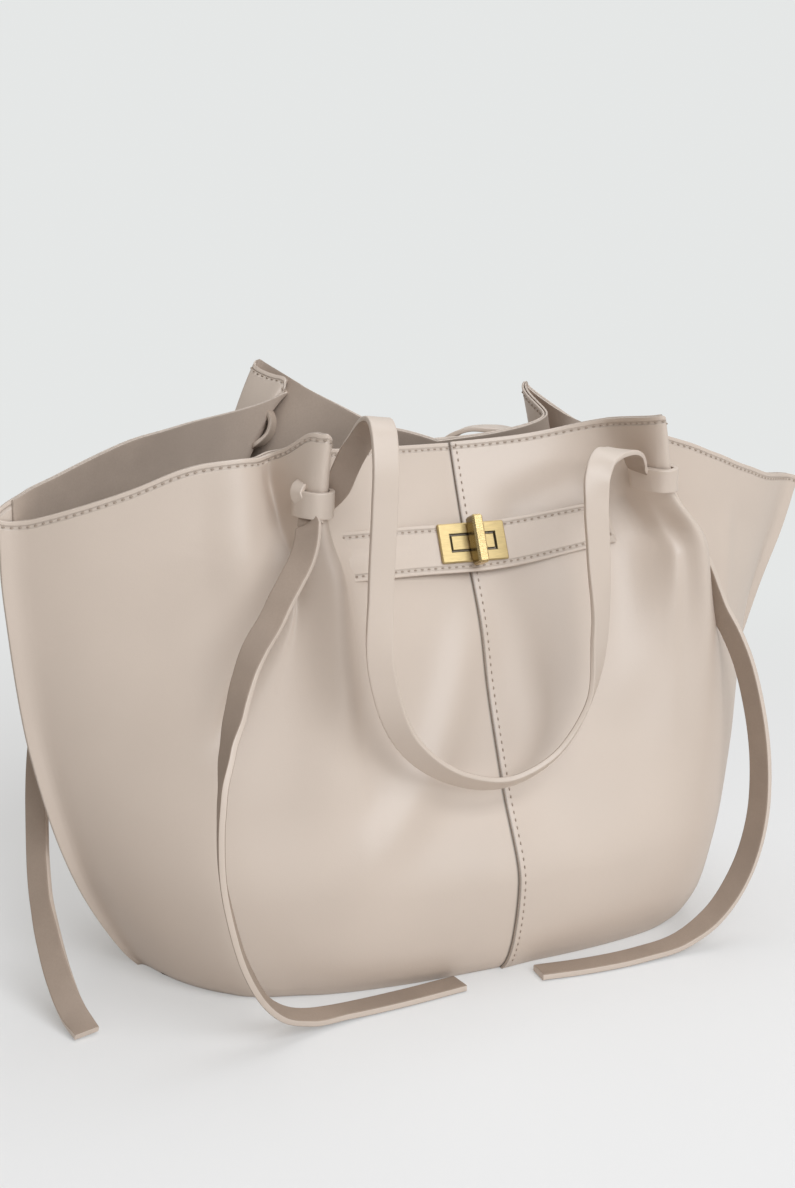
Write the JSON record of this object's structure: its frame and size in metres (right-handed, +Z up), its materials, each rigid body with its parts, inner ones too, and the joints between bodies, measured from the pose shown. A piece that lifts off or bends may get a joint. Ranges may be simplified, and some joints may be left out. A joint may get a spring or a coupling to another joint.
{
  "type": "shopper bag",
  "caption": "Slouchy leather shopper bag with cinched corners, knotted strap handles with long loose ends, and a belt with a turn lock.",
  "frame": {"origin": "middle of the base on the floor", "axes": "+Z up, +X to the viewer's right across the bag, -Y out of the front with the lock"},
  "size_m": [0.512, 0.2624, 0.3305],
  "materials": {
    "taupe_leather": "fine pebble grain",
    "lining_leather": "matt",
    "base_board": "bonded fibre",
    "brushed_gold": "brushed"
  },
  "bodies": {
    "bag": {"front_left_panel": "taupe_leather", "front_left_knot_band": "taupe_leather", "front_left_strap_root": "taupe_leather", "front_left_strap_tail": "taupe_leather", "front_right_panel": "taupe_leather", "front_right_knot_band": "taupe_leather", "front_right_strap_root": "taupe_leather", "front_right_strap_tail": "taupe_leather", "back_left_panel": "taupe_leather", "back_left_knot_band": "taupe_leather", "back_left_strap_root": "taupe_leather", "back_left_strap_tail": "taupe_leather", "back_right_panel": "taupe_leather", "back_right_knot_band": "taupe_leather", "back_right_strap_root": "taupe_leather", "back_right_strap_tail": "taupe_leather", "front_lining": "lining_leather", "back_lining": "lining_leather", "base_panel": "taupe_leather", "base_board": "base_board", "base_lining": "lining_leather", "closure_belt": "taupe_leather", "lock_plate": "brushed_gold", "lock_base": "brushed_gold", "lock_washer": "brushed_gold"},
    "turn_knob": {"turn_knob": "brushed_gold"},
    "front_handle": {"front_handle": "taupe_leather"},
    "back_handle": {"back_handle": "taupe_leather"}
  },
  "joints": [
    {"name": "knob_turn", "type": "hinge", "parent": "bag", "child": "turn_knob", "pos_m": [0, -0.03857, 0.23677], "axis": [0, -0.9134, 0.407], "range_deg": [0, 90]},
    {"name": "front_handle_swing", "type": "hinge", "parent": "bag", "child": "front_handle", "pos_m": [-0.01353, -0.08773, 0.309], "axis": [-0.9887, -0.0209, 0.1486], "range_deg": [0, 165]},
    {"name": "back_handle_swing", "type": "hinge", "parent": "bag", "child": "back_handle", "pos_m": [-0.00525, 0.0878, 0.29827], "axis": [0.9812, -0.0227, -0.1914], "range_deg": [0, 165]}
  ]
}
